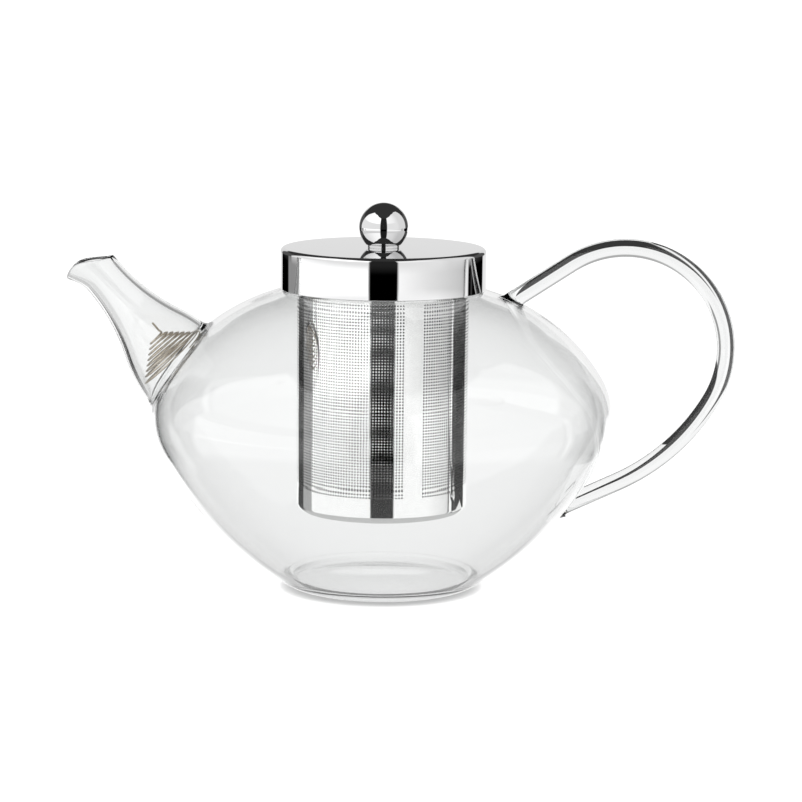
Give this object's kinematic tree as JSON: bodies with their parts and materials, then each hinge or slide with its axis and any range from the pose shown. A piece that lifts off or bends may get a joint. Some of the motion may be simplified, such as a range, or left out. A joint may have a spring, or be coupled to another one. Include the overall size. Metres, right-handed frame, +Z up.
{
  "type": "teapot",
  "caption": "Squat clear glass teapot with a slanted spout, a looped glass rod handle, a lift-out etched steel infuser basket and a polished steel drum lid with a ball knob.",
  "frame": {"origin": "centre of the flat foot, on the table", "axes": "+Z up, +X from the pot's axis towards the handle, the spout points along -X"},
  "size_m": [0.2444, 0.169, 0.1419],
  "materials": {
    "clear_glass": "clear blown borosilicate glass, fire polished",
    "polished_steel": "mirror-polished stainless steel",
    "etched_steel": "mirror-polished stainless steel sheet with a fine etched grid of holes",
    "plain_steel": "plain stainless steel",
    "spring_wire": "bright drawn stainless wire",
    "silicone": "translucent white silicone"
  },
  "bodies": {
    "pot": {"glass_bowl": "clear_glass", "glass_neck": "clear_glass", "glass_spout": "clear_glass", "glass_handle": "clear_glass"},
    "strainer": {"spout_strainer": "spring_wire"},
    "infuser": {"infuser_wall": "etched_steel", "infuser_base": "etched_steel", "infuser_rim": "etched_steel"},
    "seal": {"lid_seal": "silicone"},
    "lid": {"lid_shell": "polished_steel", "lid_cup": "plain_steel", "knob_ball": "polished_steel", "knob_collar": "polished_steel", "knob_washer": "plain_steel", "knob_screw": "plain_steel"}
  },
  "joints": [
    {"name": "strainer_push", "type": "slide", "parent": "pot", "child": "strainer", "axis": [0.6547, 0, -0.7559], "range_m": [0, 0.03]},
    {"name": "infuser_lift", "type": "slide", "parent": "pot", "child": "infuser", "axis": [0, 0, 1], "range_m": [0, 0.11]},
    {"name": "lid_lift", "type": "slide", "parent": "infuser", "child": "seal", "axis": [0, 0, 1], "range_m": [0, 0.04]},
    {"name": "lid_turn", "type": "hinge", "parent": "seal", "child": "lid", "pos_m": [0, 0, 0.1175], "axis": [0, 0, 1], "continuous": true}
  ]
}
